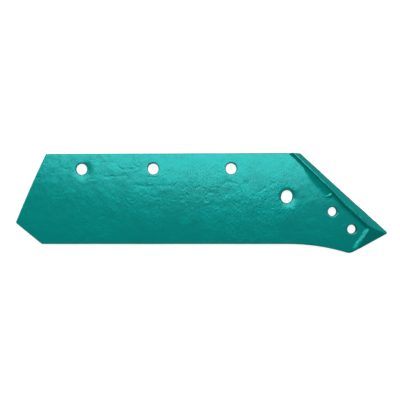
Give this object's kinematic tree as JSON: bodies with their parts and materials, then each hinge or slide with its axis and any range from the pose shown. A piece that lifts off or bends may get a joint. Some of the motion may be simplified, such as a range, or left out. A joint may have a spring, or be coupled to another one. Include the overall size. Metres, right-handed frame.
{
  "type": "plough share",
  "caption": "Forged left-hand plough share with a landside flange, a nut pocket behind its nose and bolt holes for the frog and a bolt-on point, in teal paint.",
  "frame": {"origin": "middle of the underside of the share's box, as it lies on its working face", "axes": "+X runs along the joint edge towards the point, +Y from the cutting edge to the joint edge, +Z out of the rear face, which shows in the picture"},
  "size_m": [0.5258, 0.1416, 0.0201],
  "materials": {
    "teal_paint": "gloss teal-green paint over a rough forged surface"
  },
  "bodies": {
    "root": {"plough_share": "teal_paint"}
  },
  "joints": []
}
